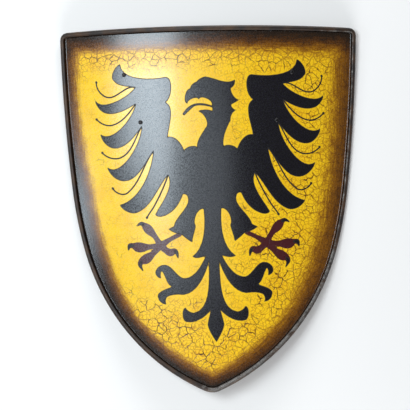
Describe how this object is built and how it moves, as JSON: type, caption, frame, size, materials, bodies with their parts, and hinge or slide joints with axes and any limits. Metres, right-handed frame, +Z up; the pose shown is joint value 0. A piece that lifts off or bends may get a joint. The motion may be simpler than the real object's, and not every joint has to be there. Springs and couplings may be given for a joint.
{
  "type": "heater shield",
  "caption": "Curved triangular knight's shield in sheet steel, its edge rolled into a bead, with two riveted leather straps behind.",
  "frame": {"origin": "on the surface that the shield lies on, below the middle of its box", "axes": "+Y from the point towards the straight top edge, +Z up out of the painted face, +X to the right as the face is seen with its top edge up"},
  "size_m": [0.5588, 0.6762, 0.0825],
  "materials": {
    "painted_steel": "satin, crackled",
    "blackened_steel": "satin",
    "leather": "waxed"
  },
  "bodies": {
    "root": {"shield_plate": "painted_steel", "strap_left": "leather", "strap_right": "leather", "rivet_left_upper": "blackened_steel", "rivet_left_lower": "blackened_steel", "rivet_right_upper": "blackened_steel", "rivet_right_lower": "blackened_steel"}
  },
  "joints": []
}
